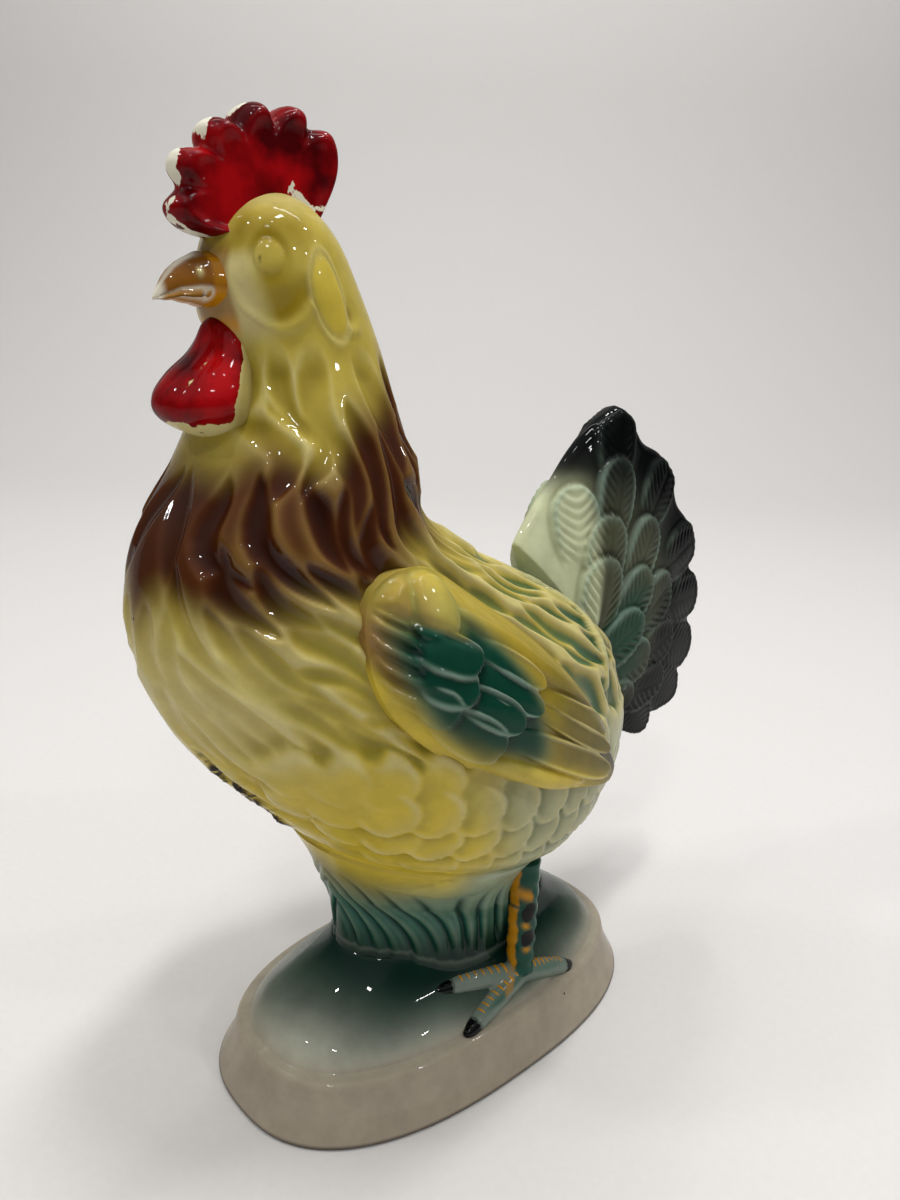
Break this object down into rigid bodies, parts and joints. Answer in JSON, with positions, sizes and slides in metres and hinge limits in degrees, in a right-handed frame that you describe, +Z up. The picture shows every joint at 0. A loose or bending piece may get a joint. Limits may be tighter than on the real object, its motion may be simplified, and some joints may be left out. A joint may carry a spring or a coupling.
{
  "type": "pottery rooster figurine",
  "caption": "Glazed pottery rooster standing on an oblong plinth, with a fan tail, folded wings and a red comb and wattle; a free-standing ornament.",
  "frame": {"origin": "middle of the plinth's flat underside", "axes": "+Z up, the bird faces -Y, its left side is +X"},
  "size_m": [0.0972, 0.1967, 0.2302],
  "materials": {
    "putty_glaze": "glossy clear glaze over putty-white clay",
    "green_glaze": "glossy clear glaze over airbrushed green",
    "yellow_glaze": "glossy clear glaze over airbrushed yellow",
    "brown_glaze": "glossy clear glaze over airbrushed brown",
    "black_glaze": "glossy clear glaze over airbrushed black",
    "ochre_glaze": "glossy glaze with brushed ochre",
    "red_paint": "worn red cold paint over glaze"
  },
  "bodies": {
    "root": {"plinth": "putty_glaze", "pedestal": "green_glaze", "body": "yellow_glaze", "neck": "brown_glaze", "head": "yellow_glaze", "beak": "ochre_glaze", "comb": "red_paint", "wattle": "red_paint", "wing_left": "green_glaze", "wing_right": "green_glaze", "tail": "black_glaze", "leg_left": "ochre_glaze", "leg_right": "ochre_glaze"}
  },
  "joints": []
}
